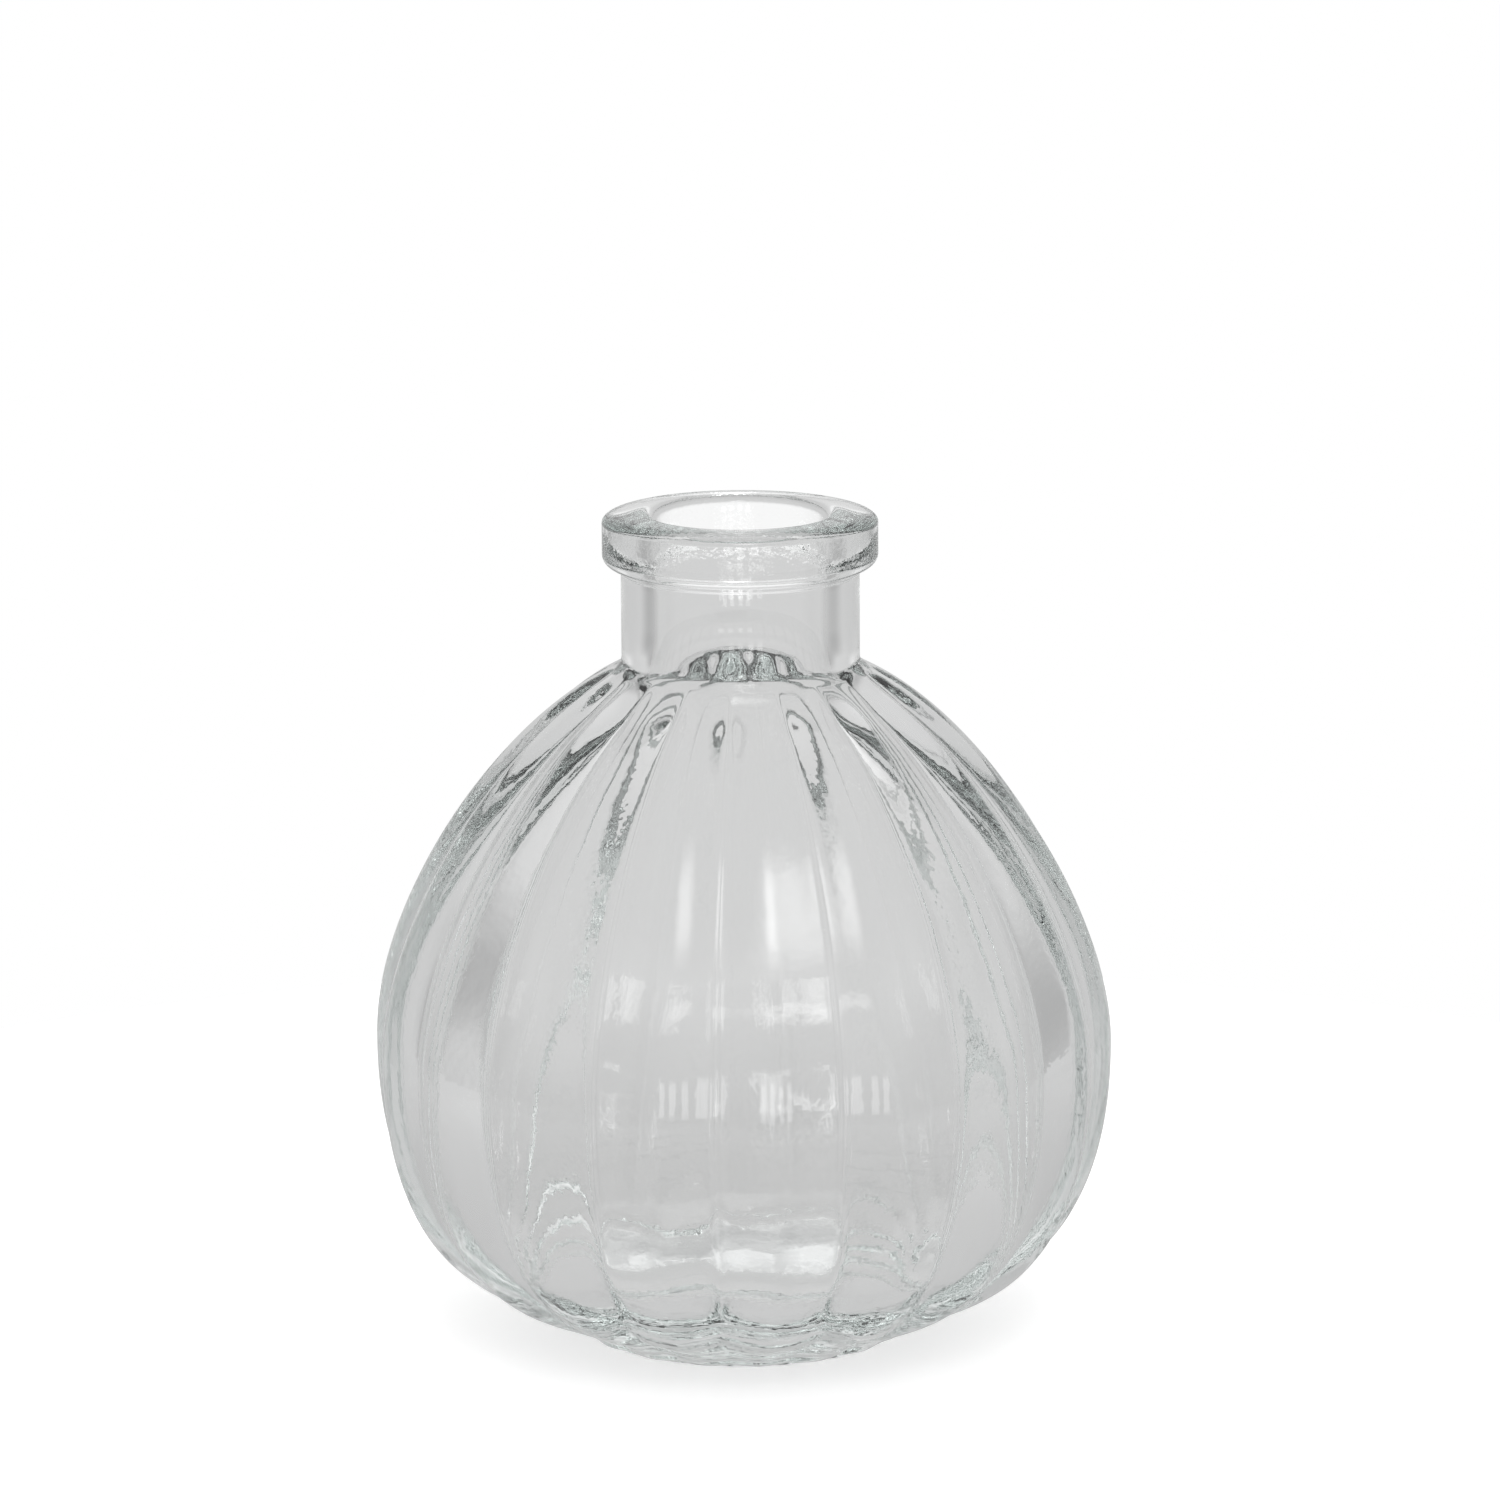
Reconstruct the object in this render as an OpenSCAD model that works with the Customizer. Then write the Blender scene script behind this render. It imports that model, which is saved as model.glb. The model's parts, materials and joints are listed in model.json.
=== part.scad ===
// Ribbed glass bud vase: one moulded piece of clear glass, standing on its base.
// Frame: origin at the centre of the standing face, +Z up along the vase's axis.

/* [Body] */
// Overall height, from the standing face to the top of the rim
height = 90; // [84:1:100]
// Diameter over the rib crests at the belly
belly_d = 80; // [74:1:90]
// Height of the widest ring
belly_z = 32; // [28:1:38]
// Diameter of the face the vase stands on
base_d = 36; // [30:1:44]
// Height at which the shoulder meets the neck
shoulder_z = 73.5; // [70:0.5:76]

/* [Ribs] */
// Number of moulded ribs around the body
ribs = 18; // [12:1:24]
// Depth of the creases between the ribs
rib_depth = 1.5; // [0.6:0.1:1.8]

/* [Neck and collar] */
// Outer diameter of the neck
neck_d = 25.6; // [24:0.2:28]
// Bore through the collar and neck
bore_d = 18.4; // [16:0.2:19.6]
// Outer diameter of the collar at the rim
collar_d = 29.6; // [28:0.2:34]
// Height of the collar
collar_h = 5.9; // [4.5:0.1:8]

/* [Glass thickness] */
// Wall thickness at the belly
belly_wall = 5; // [4:0.5:7]
// Glass under the middle of the cavity
floor_t = 10.6; // [9:0.2:12]
// Height of the hollow under the base
punt_h = 1.2; // [0.6:0.2:2]

/* [Hidden] */

belly_r = belly_d / 2;
base_r = base_d / 2;
neck_r = neck_d / 2;
bore_r = bore_d / 2;
collar_r = collar_d / 2;
cavity_r = belly_r - belly_wall;

punt_r = base_r - 3.5;        // inner edge of the standing ring
collar_round = 0.8;           // rounding of the collar's upper edge
collar_under = 1.4;           // rounding of the collar's lower edge
ledge_h = 0.5;                // low ledge that the mould leaves under the collar
ledge_t = 0.2;                // how far the ledge stands out from the neck
rim_round = 0.6;              // rounding of the mouth's edge
neck_fillet = 0.8;            // fillet where the neck meets the shoulder
ring_r = 15;                  // radius of the lower ring around the raised middle of the cavity floor
ring_t = 8;                   // glass under that ring
throat_r = bore_r + 5;        // cavity radius where it starts closing towards the bore
throat_z = shoulder_z - 5.5;  // height of that ring
bore_z = shoulder_z + 4;      // lower end of the straight bore

crease_steps = 6;             // facets across one rib
valley = 0.12;                // rounding of the creases, as a share of half a rib
lower_steps = 15;             // rings from the standing face to the belly
upper_steps = 17;             // rings from the belly to the neck
curve_steps = 14;             // edges of each curved stretch of the cavity
top_fade_h = 3.5;             // height over which the ribs run out below the neck
foot_fade_h = 7;              // height over which the creases deepen above the standing face
base_crease = 0.45;           // share of the rib depth left at the standing face

// Point at share t of a cubic curve with corners p
function cubic(p, t) =
    pow(1 - t, 3) * p[0] + 3 * t * pow(1 - t, 2) * p[1]
    + 3 * t * t * (1 - t) * p[2] + pow(t, 3) * p[3];

// Points along a cubic curve, the first left out
function curve(p, steps) = [for (i = [1:steps]) cubic(p, i / steps)];

// Outline of the body over the rib crests, as [radius, height] points going up
lower_outline = [
    [base_r, 0], [base_r + 4, 4], [belly_r, 3.5], [belly_r, belly_z]
];
upper_outline = [
    [belly_r, belly_z], [belly_r, belly_z + 15],
    [neck_r + 13.5, shoulder_z - 6.5], [neck_r - 0.4, shoulder_z + 0.2]
];
body_outline = concat(
    [lower_outline[0]],
    curve(lower_outline, lower_steps),
    curve(upper_outline, upper_steps)
);

// Share of the crease depth at height z: full on the body, less at both ends
function crease_share(z) =
    min(1, base_crease + (1 - base_crease) * z / foot_fade_h,
        sqrt(max(0, (shoulder_z - z) / top_fade_h)));

// Radius of the ribbed surface: round ribs with a rounded valley between them
function ribbed_radius(outline, step) =
    let (
        across = 2 * (step % crease_steps) / crease_steps - 1,
        to_crease = norm([1 - abs(across), valley]) - valley
    )
    outline[0] - rib_depth * crease_share(outline[1]) * pow(1 - to_crease, 2);

// The first crease lies half a rib off the front, so a crest faces the front
function body_ring(outline) = [
    for (step = [0:ribs * crease_steps - 1])
        let (
            angle = 360 * (step / crease_steps - 0.5) / ribs - 90,
            r = ribbed_radius(outline, step)
        )
        [r * cos(angle), r * sin(angle), outline[1]]
];

module ribbed_body() {
    around = ribs * crease_steps;
    rings = len(body_outline);
    points = [for (outline = body_outline) each body_ring(outline)];
    sides = [
        for (ring = [0:rings - 2], step = [0:around - 1])
            let (
                low = ring * around,
                high = low + around,
                next = (step + 1) % around
            )
            each [
                [low + step, high + step, high + next],
                [low + step, high + next, low + next]
            ]
    ];
    bottom = [for (step = [0:around - 1]) step];
    top = [for (step = [around - 1:-1:0]) (rings - 1) * around + step];
    polyhedron(points = points, faces = concat([bottom, top], sides), convexity = 6);
}

// Quarter ring of glass left in an inner corner, its corner at [r, z] going outwards and up
module corner_fillet(r, z, size) {
    difference() {
        translate([r - 1, z - 1]) square([size + 1, size + 1]);
        translate([r + size, z + size]) circle(r = size, $fn = 48);
    }
}

// Neck with its rounded collar
module neck() {
    foot_z = shoulder_z - 3;
    rotate_extrude($fn = 96) {
        translate([0, foot_z]) square([neck_r, height - foot_z]);
        translate([0, height - collar_h - ledge_h]) square([neck_r + ledge_t, ledge_h + 1]);
        difference() {
            translate([0, height - collar_h]) square([collar_r, collar_h]);
            outer_corner(collar_r, height, collar_round, 1);
            outer_corner(collar_r, height - collar_h, collar_under, -1);
        }
        corner_fillet(neck_r, shoulder_z - 0.6, neck_fillet);
    }
}

// What is cut off an outer corner at [r, z] to round it; up is 1 on an upper corner, -1 on a lower one
module outer_corner(r, z, size, up) {
    middle = [r - size, z - up * size];
    difference() {
        translate([middle[0], up > 0 ? middle[1] : z - 1]) square([size + 1, size + 1]);
        translate(middle) circle(r = size, $fn = 48);
    }
}

// Hollow of the vase: bowl-shaped cavity with a raised middle, closing over the shoulder and flaring down from the straight bore
module cavity() {
    middle_curve = [
        [0, floor_t], [6, floor_t], [ring_r - 5, ring_t + 0.3], [ring_r, ring_t]
    ];
    floor_curve = [
        [ring_r, ring_t], [ring_r + 7, ring_t - 0.4], [cavity_r, ring_t + 0.6], [cavity_r, belly_z]
    ];
    shoulder_curve = [
        [cavity_r, belly_z], [cavity_r, belly_z + 14],
        [throat_r + 8.5, throat_z - 5.6], [throat_r, throat_z]
    ];
    throat_curve = [
        [throat_r, throat_z], [throat_r - 3, throat_z + 2], [bore_r, bore_z - 5.5], [bore_r, bore_z]
    ];
    outline = concat(
        [middle_curve[0]],
        curve(middle_curve, curve_steps),
        curve(floor_curve, curve_steps),
        curve(shoulder_curve, curve_steps),
        curve(throat_curve, curve_steps / 2),
        [[0, bore_z]]
    );
    rotate_extrude($fn = 96) polygon(outline);
}

module bore() {
    translate([0, 0, bore_z - 0.5]) cylinder(r = bore_r, h = height - bore_z + 1, $fn = 96);
    translate([0, 0, height]) rotate_extrude($fn = 96) difference() {
        translate([bore_r - 0.2, -rim_round]) square([rim_round + 0.2, rim_round + 1]);
        translate([bore_r + rim_round, -rim_round]) circle(r = rim_round, $fn = 48);
    }
}

// Shallow hollow that leaves a standing ring around the base
module punt() {
    sphere_r = (punt_r * punt_r + punt_h * punt_h) / (2 * punt_h);
    translate([0, 0, punt_h - sphere_r]) sphere(r = sphere_r, $fn = 96);
}

module vase() {
    color("lightcyan", 0.5) difference() {
        union() {
            ribbed_body();
            neck();
        }
        cavity();
        bore();
        punt();
    }
}

vase();
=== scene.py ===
import json
import math

import bpy
import numpy as np
from mathutils import Matrix, Vector, noise


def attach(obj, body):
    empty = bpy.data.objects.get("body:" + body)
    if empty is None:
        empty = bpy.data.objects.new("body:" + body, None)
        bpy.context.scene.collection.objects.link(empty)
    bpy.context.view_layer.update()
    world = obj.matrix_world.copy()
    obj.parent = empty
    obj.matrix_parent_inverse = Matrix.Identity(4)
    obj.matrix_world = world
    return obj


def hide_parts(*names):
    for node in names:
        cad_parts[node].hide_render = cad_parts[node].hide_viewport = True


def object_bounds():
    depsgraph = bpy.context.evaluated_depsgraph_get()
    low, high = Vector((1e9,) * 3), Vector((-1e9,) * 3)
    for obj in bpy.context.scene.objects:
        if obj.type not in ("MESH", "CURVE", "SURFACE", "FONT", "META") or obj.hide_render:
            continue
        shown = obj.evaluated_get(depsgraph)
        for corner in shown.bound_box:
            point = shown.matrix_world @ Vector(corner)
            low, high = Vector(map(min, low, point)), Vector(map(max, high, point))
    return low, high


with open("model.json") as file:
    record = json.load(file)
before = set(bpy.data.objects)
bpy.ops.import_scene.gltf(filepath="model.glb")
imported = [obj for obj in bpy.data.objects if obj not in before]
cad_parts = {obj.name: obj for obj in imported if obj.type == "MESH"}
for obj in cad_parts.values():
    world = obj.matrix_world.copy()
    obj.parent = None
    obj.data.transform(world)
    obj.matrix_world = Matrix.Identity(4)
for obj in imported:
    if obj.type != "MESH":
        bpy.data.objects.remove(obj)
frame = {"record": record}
cad_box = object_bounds()
low, high = cad_box

# Sizes are in millimetres, and MM turns them into metres.
MM = 0.001

# Driving sizes, from the frame
MOUTH = next(m for m in frame["record"]["mounts"] if m["name"] == "mouth")
HEIGHT = high[2] / MM                 # rim above the standing face
BELLY_R = (high[1] - low[1]) / 2 / MM  # over the rib crests
BORE_R = MOUTH["dims"]["r_mm"]

# Outside
BELLY_Z = 32
BASE_R = 18
FOOT_ROUND = 0.8
SHOULDER_Z = 73.5
NECK_R = 12.8
COLLAR_R = 14.8
COLLAR_Z = HEIGHT - 5.9
PUNT_R = BASE_R - 3.5
PUNT_H = 1.2
PUNT_RINGS = 14
PUNT_START = 0.02                     # angle of the first ring around the middle of the underside

# Ribs
RIBS = 18
RIB_DEPTH = 1.5
VALLEY = 0.12                         # rounding of the creases, as a share of half a rib
BASE_SHARE = 0.45                     # share of the rib depth at the standing face
BASE_FADE_H = 7                       # height at which the ribs reach their full depth
TOP_FADE_H = 3.5                      # the ribs run out over this height, just under the neck
TOP_FADE_Z = SHOULDER_Z - 0.4
# Places across half a rib, from its crest to just short of the crease, closer together near the crease
HALF_RIB = [0, 0.22, 0.43, 0.62, 0.77, 0.88, 0.95]

# Inside
WALL = 5.0                            # at the belly, under the rib crests
FLOOR_T = 10.6                        # glass over the base, in the middle of the cavity floor
RING_T = 8.0                          # glass over the base, around that raised middle
RING_R = 15

# Unevenness of the moulded surfaces: its height at each surface, and the two sizes of its humps
PUNT_WAVE = 0.06
OUTER_WAVE = 0.03
THROAT_WAVE = 0.03
INNER_WAVE = 0.07
FLOOR_WAVE = 0.2
BROAD_HUMP = 11
SMALL_HUMP = 5
SMALL_SHARE = 0.45                    # height of the small humps against the broad ones
HUMP_SHIFT = 1000                     # keeps the small humps from repeating the broad ones


# ---------------------------------------------------------------- outline
def stretch(start, end, rings, handles=None):
    """Points from start to end, start left out: a straight line, or a cubic curve with two handles."""
    t = np.linspace(0, 1, rings + 1)[1:, None]
    start, end = np.array(start), np.array(end)
    if handles is None:
        return (1 - t) * start + t * end
    first, second = np.array(handles)
    bend = 3 * t * (1 - t) ** 2 * first + 3 * t * t * (1 - t) * second
    return (1 - t) ** 3 * start + bend + t ** 3 * end


def outside():
    """Stretches from the standing ring up to the rim.

    Each has its end, its number of rings, its curve's handles or None, its waviness, and whether it is
    ribbed.
    """
    foot = BASE_R - FOOT_ROUND
    ledge_r = NECK_R + 0.22
    return [
        ((foot, 0), 4, None, 0, False),
        # rounded foot, lower body and upper body
        ((BASE_R + 0.8, 0.8), 6, [(BASE_R - 0.2, 0), (BASE_R + 0.3, 0.3)], 0, True),
        ((BELLY_R, BELLY_Z), 60, [(BASE_R + 4.6, 4.2), (BELLY_R, 4.0)], OUTER_WAVE, True),
        ((NECK_R + 1.1, SHOULDER_Z - 0.5), 74,
         [(BELLY_R, BELLY_Z + 15), (NECK_R + 13.5, SHOULDER_Z - 6.5)], OUTER_WAVE, True),
        # fillet into the neck, and the neck
        ((NECK_R, SHOULDER_Z + 0.9), 6,
         [(NECK_R + 0.4, SHOULDER_Z - 0.15), (NECK_R, SHOULDER_Z + 0.2)], 0, False),
        ((NECK_R, COLLAR_Z - 0.7), 16, None, 0, False),
        # low ledge under the collar
        ((ledge_r, COLLAR_Z - 0.3), 4, [(NECK_R, COLLAR_Z - 0.45), (ledge_r, COLLAR_Z - 0.6)], 0, False),
        ((ledge_r + 0.02, COLLAR_Z), 2, None, 0, False),
        # underside and band of the collar
        ((COLLAR_R, COLLAR_Z + 1.45), 12,
         [(COLLAR_R - 0.9, COLLAR_Z), (COLLAR_R, COLLAR_Z + 0.6)], 0, False),
        ((COLLAR_R, HEIGHT - 1.1), 10, None, 0, False),
        # crowned rim
        ((COLLAR_R - 2.6, HEIGHT), 12, [(COLLAR_R, HEIGHT - 0.45), (COLLAR_R - 1, HEIGHT)], 0, False),
        ((BORE_R + 1.6, HEIGHT), 3, None, 0, False),
    ]


def inside():
    """Stretches from the rim down to the middle of the cavity floor, with the same entries."""
    cavity_r = BELLY_R - WALL
    bore_z = SHOULDER_Z + 4
    throat_r, throat_z = BORE_R + 5, SHOULDER_Z - 5.5
    return [
        # mouth and bore
        ((BORE_R, HEIGHT - 1.2), 10, [(BORE_R + 0.6, HEIGHT), (BORE_R, HEIGHT - 0.3)], 0, False),
        ((BORE_R, bore_z), 18, None, 0, False),
        # throat, shoulder, side and floor of the cavity
        ((throat_r, throat_z), 20,
         [(BORE_R, bore_z - 5.5), (throat_r - 3, throat_z + 2)], THROAT_WAVE, False),
        ((cavity_r, BELLY_Z), 34,
         [(throat_r + 8.5, throat_z - 5.6), (cavity_r, BELLY_Z + 14)], INNER_WAVE, False),
        ((RING_R, RING_T), 32, [(cavity_r, RING_T + 0.6), (RING_R + 7, RING_T - 0.4)],
         (INNER_WAVE, FLOOR_WAVE), False),
        ((0.4, FLOOR_T), 14, [(RING_R - 5, RING_T + 0.3), (6, FLOOR_T)], FLOOR_WAVE, False),
    ]


def outline():
    """The vase's section, from the middle of its underside up the outside and down the inside.

    Returns the points, the share of the rib depth at each, and the waviness there.
    """
    turn = np.linspace(PUNT_START, math.pi / 2, PUNT_RINGS)
    points = [np.c_[PUNT_R * np.sin(turn), PUNT_H * np.cos(turn)]]
    waves = [np.full(PUNT_RINGS, PUNT_WAVE)]
    ribbed = [np.full(PUNT_RINGS, False)]
    for end, rings, handles, wave, has_ribs in outside() + inside():
        points.append(stretch(points[-1][-1], end, rings, handles))
        waves.append(np.linspace(*np.broadcast_to(wave, 2), rings))
        ribbed.append(np.full(rings, has_ribs))
    points = np.concatenate(points)
    z = points[:, 1]
    share = np.minimum(1, BASE_SHARE + (1 - BASE_SHARE) * z / BASE_FADE_H)
    share = np.minimum(share, np.sqrt(np.clip((TOP_FADE_Z - z) / TOP_FADE_H, 0, 1)))
    return points, np.where(np.concatenate(ribbed), share, 0), np.concatenate(waves)


# ---------------------------------------------------------------- mesh
def rib_dip(across):
    """Share of the rib depth at a place across the rib: a round lobe with a rounded valley at each side."""
    to_crease = np.hypot(1 - np.abs(across), VALLEY) - VALLEY
    return (1 - to_crease) ** 2


def waviness(points, size):
    """Smooth unevenness between about -1 and 1 at each point, its humps about size apart."""
    return np.array([noise.noise(Vector(p)) for p in points / size])


def vase_mesh():
    points, share, wave = outline()
    half = np.array(HALF_RIB)
    across = np.r_[-1, -half[:0:-1], half]
    crests = np.radians(np.arange(RIBS) * 360 / RIBS - 90)
    angle = (crests[:, None] + across[None, :] * math.pi / RIBS).ravel()
    dip = np.tile(rib_dip(across), RIBS)
    radius = points[:, :1] - RIB_DEPTH * share[:, None] * dip[None, :]
    height = np.broadcast_to(points[:, 1:], radius.shape)
    co = np.stack([radius * np.cos(angle), radius * np.sin(angle), height], -1).reshape(-1, 3)
    around, rings = len(angle), len(points)

    # unevenness, along the section's own normal
    tangent = np.gradient(points, axis=0)
    tangent /= np.linalg.norm(tangent, axis=1)[:, None]
    normal_r, normal_z = np.repeat(tangent[:, 1], around), np.repeat(-tangent[:, 0], around)
    hump = waviness(co, BROAD_HUMP) + SMALL_SHARE * waviness(co + HUMP_SHIFT, SMALL_HUMP)
    turn = np.tile(angle, rings)
    shift = np.repeat(wave, around) * hump
    co += shift[:, None] * np.c_[normal_r * np.cos(turn), normal_r * np.sin(turn), normal_z]

    # a ring of quads between each two rings of points, and a fan at each end
    ring, step = np.meshgrid(np.arange(rings - 1), np.arange(around), indexing="ij")
    here, beside = ring * around + step, ring * around + (step + 1) % around
    quads = np.stack([here, beside, beside + around, here + around], -1).reshape(-1, 4)
    underside, floor_middle = len(co), len(co) + 1
    co = np.r_[co, [[0, 0, points[0, 1]], [0, 0, points[-1, 1]]]]
    step = np.arange(around)
    beside = (step + 1) % around
    last = (rings - 1) * around
    first_fan = np.c_[np.full(around, underside), beside, step]
    last_fan = np.c_[last + step, last + beside, np.full(around, floor_middle)]
    mesh = bpy.data.meshes.new("glass_vase")
    mesh.from_pydata((co * MM).tolist(), [], quads.tolist() + first_fan.tolist() + last_fan.tolist())
    mesh.shade_smooth()
    mesh.update()
    return mesh


vase = bpy.data.objects.new("glass_vase", vase_mesh())
bpy.context.scene.collection.objects.link(vase)


# ---------------------------------------------------------------- node helpers
def tree_maths(tree, operation, *values):
    node = tree.nodes.new("ShaderNodeMath")
    node.operation = operation
    for socket, value in zip(node.inputs, values):
        if isinstance(value, (int, float)):
            socket.default_value = value
        else:
            tree.links.new(value, socket)
    return node.outputs[0]


def along(tree, direction, vector):
    node = tree.nodes.new("ShaderNodeVectorMath")
    node.operation = "DOT_PRODUCT"
    tree.links.new(direction, node.inputs[0])
    node.inputs[1].default_value = vector
    return node.outputs["Value"]


def soft_step(tree, value, start, end, low_value=0.0, high_value=1.0):
    """low_value up to start, high_value from end on, smooth between them; start may be above end."""
    node = tree.nodes.new("ShaderNodeMapRange")
    node.interpolation_type = "SMOOTHSTEP"
    tree.links.new(value, node.inputs["Value"])
    limits = (("From Min", start), ("From Max", end), ("To Min", low_value), ("To Max", high_value))
    for name, amount in limits:
        node.inputs[name].default_value = amount
    return node.outputs["Result"]


def noise_height(tree, place, size, amount):
    """Noise from 0 to amount, its humps about size apart, both in millimetres."""
    node = tree.nodes.new("ShaderNodeTexNoise")
    node.inputs["Scale"].default_value = 1 / (size * MM)
    node.inputs["Detail"].default_value = 1
    tree.links.new(place, node.inputs["Vector"])
    return tree_maths(tree, "MULTIPLY", node.outputs[0], amount)


def camera_switch(tree, seen_by_glass, seen_by_camera):
    """One shader for the light that the glass bends or reflects, another for what the camera sees."""
    path = tree.nodes.new("ShaderNodeLightPath")
    mix = tree.nodes.new("ShaderNodeMixShader")
    tree.links.new(path.outputs["Is Camera Ray"], mix.inputs[0])
    tree.links.new(seen_by_glass, mix.inputs[1])
    tree.links.new(seen_by_camera, mix.inputs[2])
    return mix.outputs[0]


# ---------------------------------------------------------------- material
GLASS_IOR = 1.52
GLASS_TINT = (0.84, 0.89, 0.875, 1)
TINT_DENSITY = 12                     # per metre
# Relief of the skin, in millimetres: distance between humps, height
PEEL = (1.0, 0.010)
RIPPLE = (4.5, 0.030)
HAMMERED = (0.5, 0.022)


def glass_material():
    mat = bpy.data.materials.new("clear_glass")
    mat.use_nodes = True
    nt = mat.node_tree
    shader = nt.nodes["Principled BSDF"]
    shader.inputs["Base Color"].default_value = (1, 1, 1, 1)
    shader.inputs["Roughness"].default_value = 0.0
    shader.inputs["IOR"].default_value = GLASS_IOR
    shader.inputs["Transmission Weight"].default_value = 1.0
    absorb = nt.nodes.new("ShaderNodeVolumeAbsorption")
    absorb.inputs["Color"].default_value = GLASS_TINT
    absorb.inputs["Density"].default_value = TINT_DENSITY
    nt.links.new(absorb.outputs[0], nt.nodes["Material Output"].inputs["Volume"])

    place = nt.nodes.new("ShaderNodeTexCoord").outputs["Object"]
    height = tree_maths(nt, "DIVIDE", along(nt, place, (0, 0, 1)), MM)
    # orange peel and ripples on the body
    on_body = soft_step(nt, height, SHOULDER_Z + 1, SHOULDER_Z - 4)
    skin = tree_maths(nt, "ADD", noise_height(nt, place, *PEEL), noise_height(nt, place, *RIPPLE))
    skin = tree_maths(nt, "MULTIPLY", skin, on_body)
    # hammered look on the band of the collar
    over_edge = soft_step(nt, height, COLLAR_Z + 0.5, COLLAR_Z + 1.5)
    below_rim = soft_step(nt, height, HEIGHT - 1.2, HEIGHT - 2.2)
    band = tree_maths(nt, "MULTIPLY", over_edge, below_rim)
    hammered = tree_maths(nt, "MULTIPLY", noise_height(nt, place, *HAMMERED), band)
    bump = nt.nodes.new("ShaderNodeBump")
    bump.inputs["Distance"].default_value = MM
    nt.links.new(tree_maths(nt, "ADD", skin, hammered), bump.inputs["Height"])
    nt.links.new(bump.outputs[0], shader.inputs["Normal"])
    return mat


vase.data.materials.append(glass_material())
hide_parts("vase")
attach(vase, "root")

# ---------------------------------------------------------------- studio
# The glass is lit by a pale grey studio. The camera sees a white background and floor directly.
VIEW_AZIMUTH = -5.8                   # of the camera, in degrees from -Y towards +X
scene = bpy.context.scene
scene.view_settings.view_transform = "Standard"
scene.cycles.max_bounces = 32
scene.cycles.transmission_bounces = 32
# Light reflected more often than this inside the glass is lost, which keeps the shoulder's streaks dark
scene.cycles.glossy_bounces = 14

world = bpy.data.worlds.new("studio")
scene.world = world
world.use_nodes = True

# Soft panels: azimuth from straight behind the vase, turning right, and elevation of the middle, in degrees;
# half width and half height in degrees; how soft the edge is; brightness
PANELS = [
    (0, 14, 14, 7, 0.7, 0.95),        # backdrop
    (50, -6, 12, 8.5, 0.9, 0.42),     # dark, right
    (-54, -7, 12, 8.5, 0.9, 0.4),     # dark, left
    (64, 8, 11, 9, 0.8, 0.42),        # dark, above each of these
    (-64, 8, 11, 9, 0.8, 0.42),
    (174, 48, 7, 9, 0.7, 5.0),        # softbox over the camera
    (176, 25, 10, 1.5, 0.6, 3.0),     # strip under it
    (157, -2.5, 3, 7.5, 0.2, 3.2),    # four tall windows
    (168, -2.5, 3, 7.5, 0.2, 3.2),
    (180, -2.5, 3, 7.5, 0.2, 3.2),
    (191, -2.5, 3, 7.5, 0.2, 3.2),
]
# Brightness of the studio behind and in front of the vase, from straight down (-1) to straight up (1)
BACK = [(-1.0, 0.62), (0.0, 0.62), (0.1, 0.66), (0.35, 0.66), (0.6, 0.75), (0.8, 1.05)]
FRONT = [(-1.0, 0.82), (0.0, 0.78), (0.3, 0.78), (0.5, 0.95), (0.8, 1.05), (0.95, 1.05)]
WHITE = 1.0
ONE_WALL_DEPTH = 3                    # what Light Path counts for light that crossed two surfaces
ONE_WALL_SHARE = 0.9                  # how far such light goes from grey to white
# Limits along the view, from 1 straight behind the vase to -1 at the camera
SIDES = (0.5, -0.5)                   # from the studio behind the vase to the studio in front of it
STRAIGHT_ON = (0.88, 0.95)            # from untouched to nearly white, for light that crossed a single wall
MIN_TOWARDS = 0.001                   # keeps the far side of the studio out of a panel


def ramp(tree, value, stops):
    """Brightness along value, which runs from -1 to 1."""
    node = tree.nodes.new("ShaderNodeValToRGB")
    tree.links.new(tree_maths(tree, "MULTIPLY_ADD", value, 0.5, 0.5), node.inputs[0])
    elements = node.color_ramp.elements
    for index, (place, level) in enumerate(stops):
        position = (place + 1) / 2
        element = elements[index] if index < 2 else elements.new(position)
        element.position = position
        element.color = (level, level, level, 1)
    grey = tree.nodes.new("ShaderNodeRGBToBW")
    tree.links.new(node.outputs["Color"], grey.inputs[0])
    return grey.outputs[0]


def blend(tree, share, first, second):
    change = tree_maths(tree, "SUBTRACT", second, first)
    return tree_maths(tree, "MULTIPLY_ADD", change, share, first)


def panel_mask(tree, direction, azimuth, elevation, half_w, half_h, soft):
    """1 inside the panel, 0 outside it, smooth over its soft edge."""
    turn = math.radians(azimuth - VIEW_AZIMUTH)
    rise = math.radians(elevation)
    middle = Vector((math.sin(turn) * math.cos(rise), math.cos(turn) * math.cos(rise), math.sin(rise)))
    side = Vector((math.cos(turn), -math.sin(turn), 0))
    towards = tree_maths(tree, "MAXIMUM", along(tree, direction, middle), MIN_TOWARDS)
    mask = 1.0
    for axis, half in ((side, half_w), (side.cross(middle), half_h)):
        reach = tree_maths(tree, "ABSOLUTE", along(tree, direction, axis))
        reach = tree_maths(tree, "DIVIDE", reach, towards)
        size = math.tan(math.radians(half))
        inside_edge = soft_step(tree, reach, size * (1 + soft), size * (1 - soft))
        mask = tree_maths(tree, "MULTIPLY", mask, inside_edge)
    return mask


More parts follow.
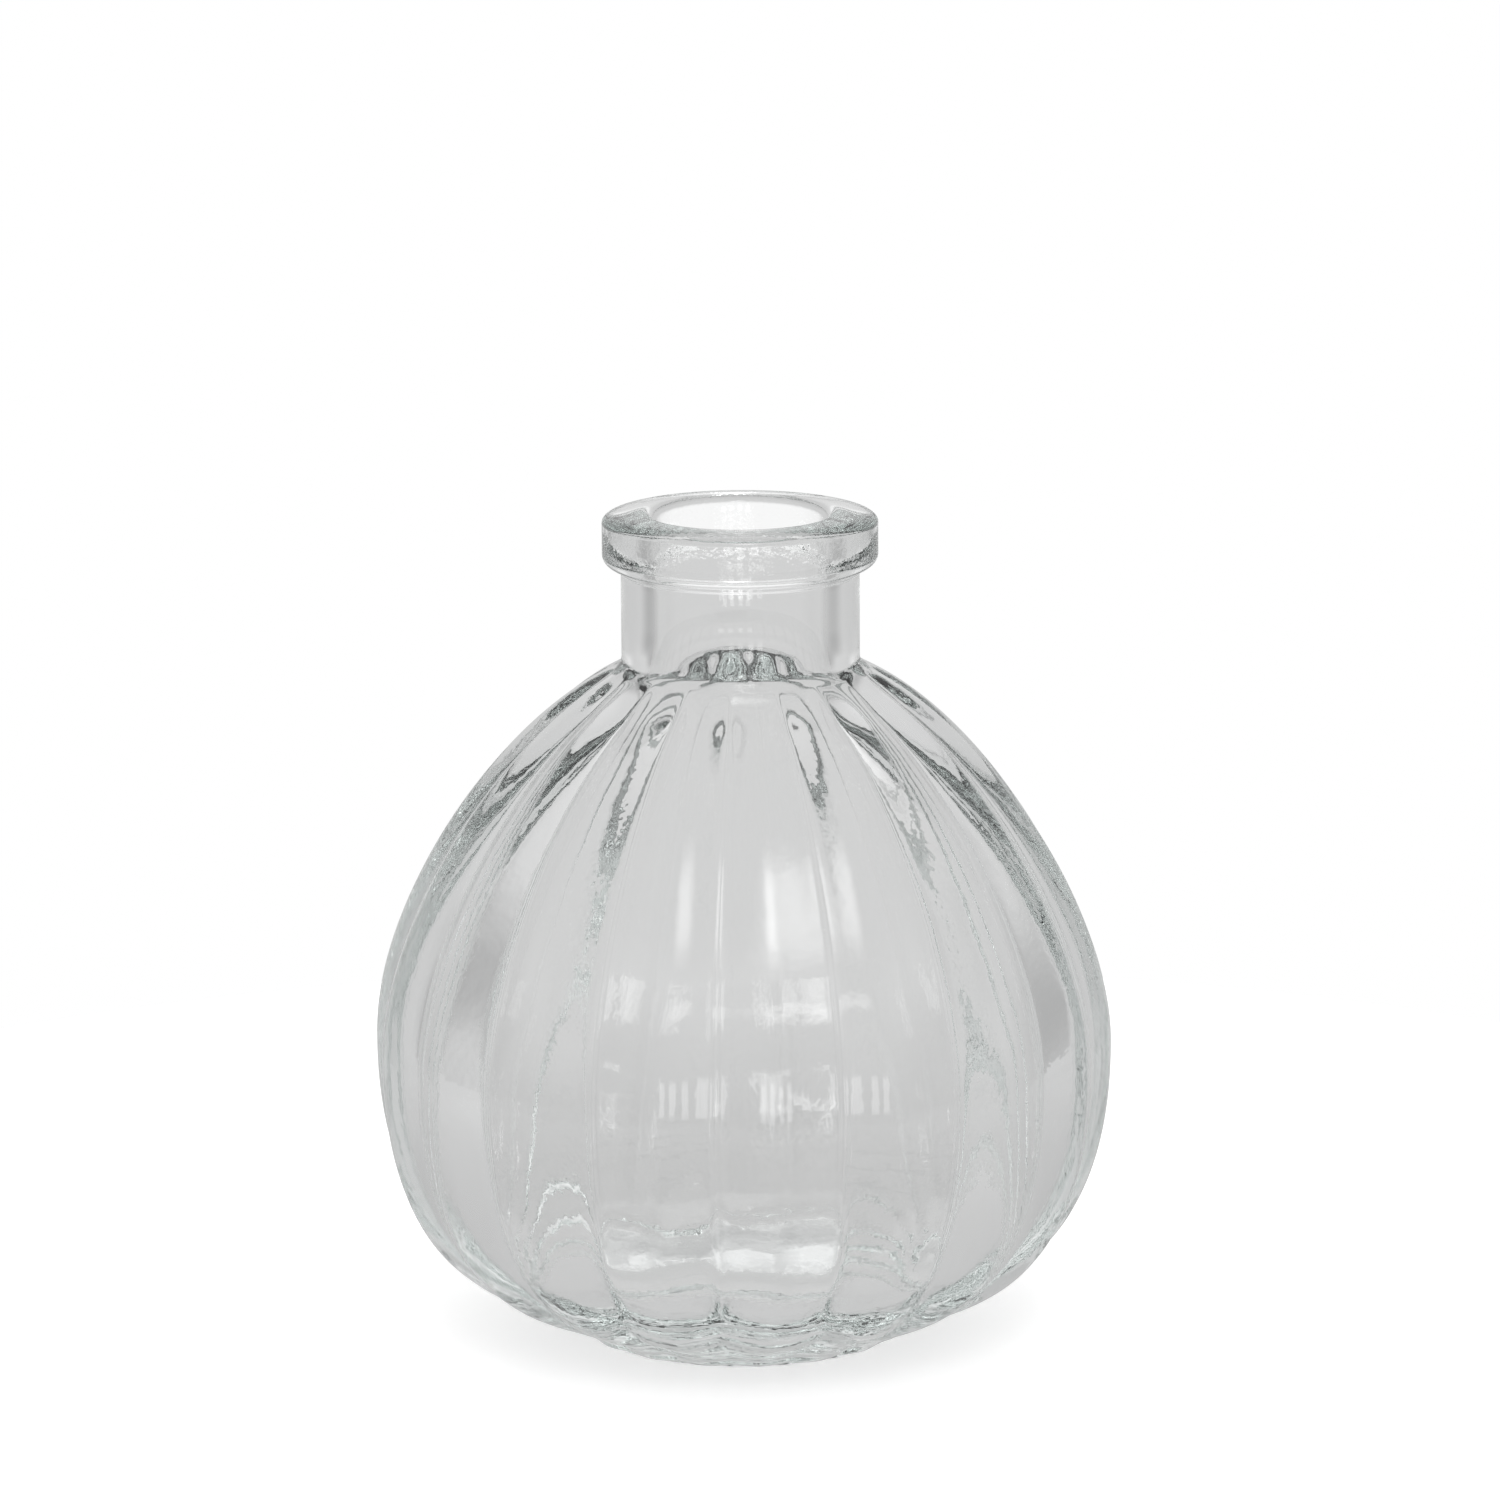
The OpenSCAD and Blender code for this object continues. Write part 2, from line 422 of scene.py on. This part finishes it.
def studio_world(tree):
    direction = tree.nodes.new("ShaderNodeTexCoord").outputs["Generated"]
    height = along(tree, direction, (0, 0, 1))
    turn = math.radians(VIEW_AZIMUTH)
    ahead = along(tree, direction, (-math.sin(turn), math.cos(turn), 0))
    in_front = soft_step(tree, ahead, *SIDES)
    level = blend(tree, in_front, ramp(tree, height, BACK), ramp(tree, height, FRONT))
    for *shape, brightness in PANELS:
        level = blend(tree, panel_mask(tree, direction, *shape), level, brightness)
    # straight behind the vase, light that crossed a single wall, as in the mouth, is nearly white
    path = tree.nodes.new("ShaderNodeLightPath")
    one_wall = tree_maths(tree, "COMPARE", path.outputs["Ray Depth"], ONE_WALL_DEPTH, 0.5)
    straight_on = soft_step(tree, ahead, *STRAIGHT_ON, 0, ONE_WALL_SHARE)
    level = blend(tree, tree_maths(tree, "MULTIPLY", one_wall, straight_on), level, WHITE)
    grey = tree.nodes["Background"]
    tree.links.new(level, grey.inputs["Color"])
    white = tree.nodes.new("ShaderNodeBackground")
    white.inputs["Color"].default_value = (WHITE, WHITE, WHITE, 1)
    both = camera_switch(tree, grey.outputs[0], white.outputs[0])
    tree.links.new(both, tree.nodes["World Output"].inputs["Surface"])


studio_world(world.node_tree)

# ---------------------------------------------------------------- floor, in metres
FLOOR_R = 0.16
FLOOR_SIDES = 96
FLOOR_GAP = 0.1 * MM                  # between the floor and the standing face
PAINTED_LIGHT_FRONT = (-0.12, 1.0)            # painted light on the floor, seen only through the glass: place along the view and brightness where it is brightest
PAINTED_LIGHT_BACK = (0.05, 0.62)             # and where it is darkest
PAINTED_SHADOW_IN = (0.03, 0.78)               # painted shadow, seen only through the glass: distance from the vase's axis and share of the painted light left there
PAINTED_SHADOW_OUT = (0.15, 1.0)
FLOOR_GREY = (0.8, 0.8, 0.8, 1)
FLOOR_GLOW = 0.5                      # lifts the floor to white around a soft shadow


def floor_material():
    """White with the vase's soft shadow for the camera; for the glass, a glow of painted light, brighter
    towards the front, with a painted shadow around the vase.
    """
    mat = bpy.data.materials.new("floor_white")
    mat.use_nodes = True
    nt = mat.node_tree
    nt.nodes.remove(nt.nodes["Principled BSDF"])
    place = nt.nodes.new("ShaderNodeTexCoord").outputs["Object"]
    turn = math.radians(VIEW_AZIMUTH)
    back = along(nt, place, (-math.sin(turn), math.cos(turn), 0))
    away = nt.nodes.new("ShaderNodeVectorMath")
    away.operation = "LENGTH"
    nt.links.new(place, away.inputs[0])
    # painted shadow: the floor's glow for the glass is darker near the vase's axis
    painted_shadow = soft_step(nt, away.outputs["Value"], PAINTED_SHADOW_IN[0], PAINTED_SHADOW_OUT[0], PAINTED_SHADOW_IN[1], PAINTED_SHADOW_OUT[1])
    # painted light: the floor's glow for the glass is brighter towards the front
    painted_front_light = soft_step(nt, back, PAINTED_LIGHT_FRONT[0], PAINTED_LIGHT_BACK[0], PAINTED_LIGHT_FRONT[1], PAINTED_LIGHT_BACK[1])
    # the glass sees the floor only as this glow of painted light and painted shadow
    painted_light_glow = nt.nodes.new("ShaderNodeEmission")
    nt.links.new(tree_maths(nt, "MULTIPLY", painted_front_light, painted_shadow), painted_light_glow.inputs["Strength"])
    matt = nt.nodes.new("ShaderNodeBsdfDiffuse")
    matt.inputs["Color"].default_value = FLOOR_GREY
    glow = nt.nodes.new("ShaderNodeEmission")
    glow.inputs["Strength"].default_value = FLOOR_GLOW
    add = nt.nodes.new("ShaderNodeAddShader")
    nt.links.new(matt.outputs[0], add.inputs[0])
    nt.links.new(glow.outputs[0], add.inputs[1])
    both = camera_switch(nt, painted_light_glow.outputs[0], add.outputs[0])
    nt.links.new(both, nt.nodes["Material Output"].inputs["Surface"])
    return mat


turns = np.linspace(0, 2 * math.pi, FLOOR_SIDES + 1)[:-1]
edge = [(FLOOR_R * math.cos(a), FLOOR_R * math.sin(a), 0) for a in turns]
floor_data = bpy.data.meshes.new("floor")
floor_data.from_pydata(edge, [], [tuple(range(FLOOR_SIDES))])
floor = bpy.data.objects.new("floor", floor_data)
floor.location.z = low[2] - FLOOR_GAP
scene.collection.objects.link(floor)
floor_data.materials.append(floor_material())

# ---------------------------------------------------------------- camera
VIEW_ELEVATION = 12.35                # degrees, as are the roll and the angle
VIEW_ROLL = 0.3
VIEW_ANGLE = 11.53
DISTANCE = 0.8                        # metres
AIM_RIGHT = 0.95                      # of the vase's axis
AIM_Z = 63.9
cam_data = bpy.data.cameras.new("camera")
cam = bpy.data.objects.new("camera", cam_data)
scene.collection.objects.link(cam)
scene.camera = cam
az, el = math.radians(VIEW_AZIMUTH), math.radians(VIEW_ELEVATION)
aim = MM * Vector((AIM_RIGHT * math.cos(az), AIM_RIGHT * math.sin(az), AIM_Z))
back_off = Vector((math.sin(az) * math.cos(el), -math.cos(az) * math.cos(el), math.sin(el)))
cam.location = aim + DISTANCE * back_off
roll = Matrix.Rotation(math.radians(-VIEW_ROLL), 3, "Z")
cam.rotation_euler = ((aim - cam.location).to_track_quat("-Z", "Y").to_matrix() @ roll).to_euler()
cam_data.sensor_width = 36
cam_data.angle = math.radians(VIEW_ANGLE)
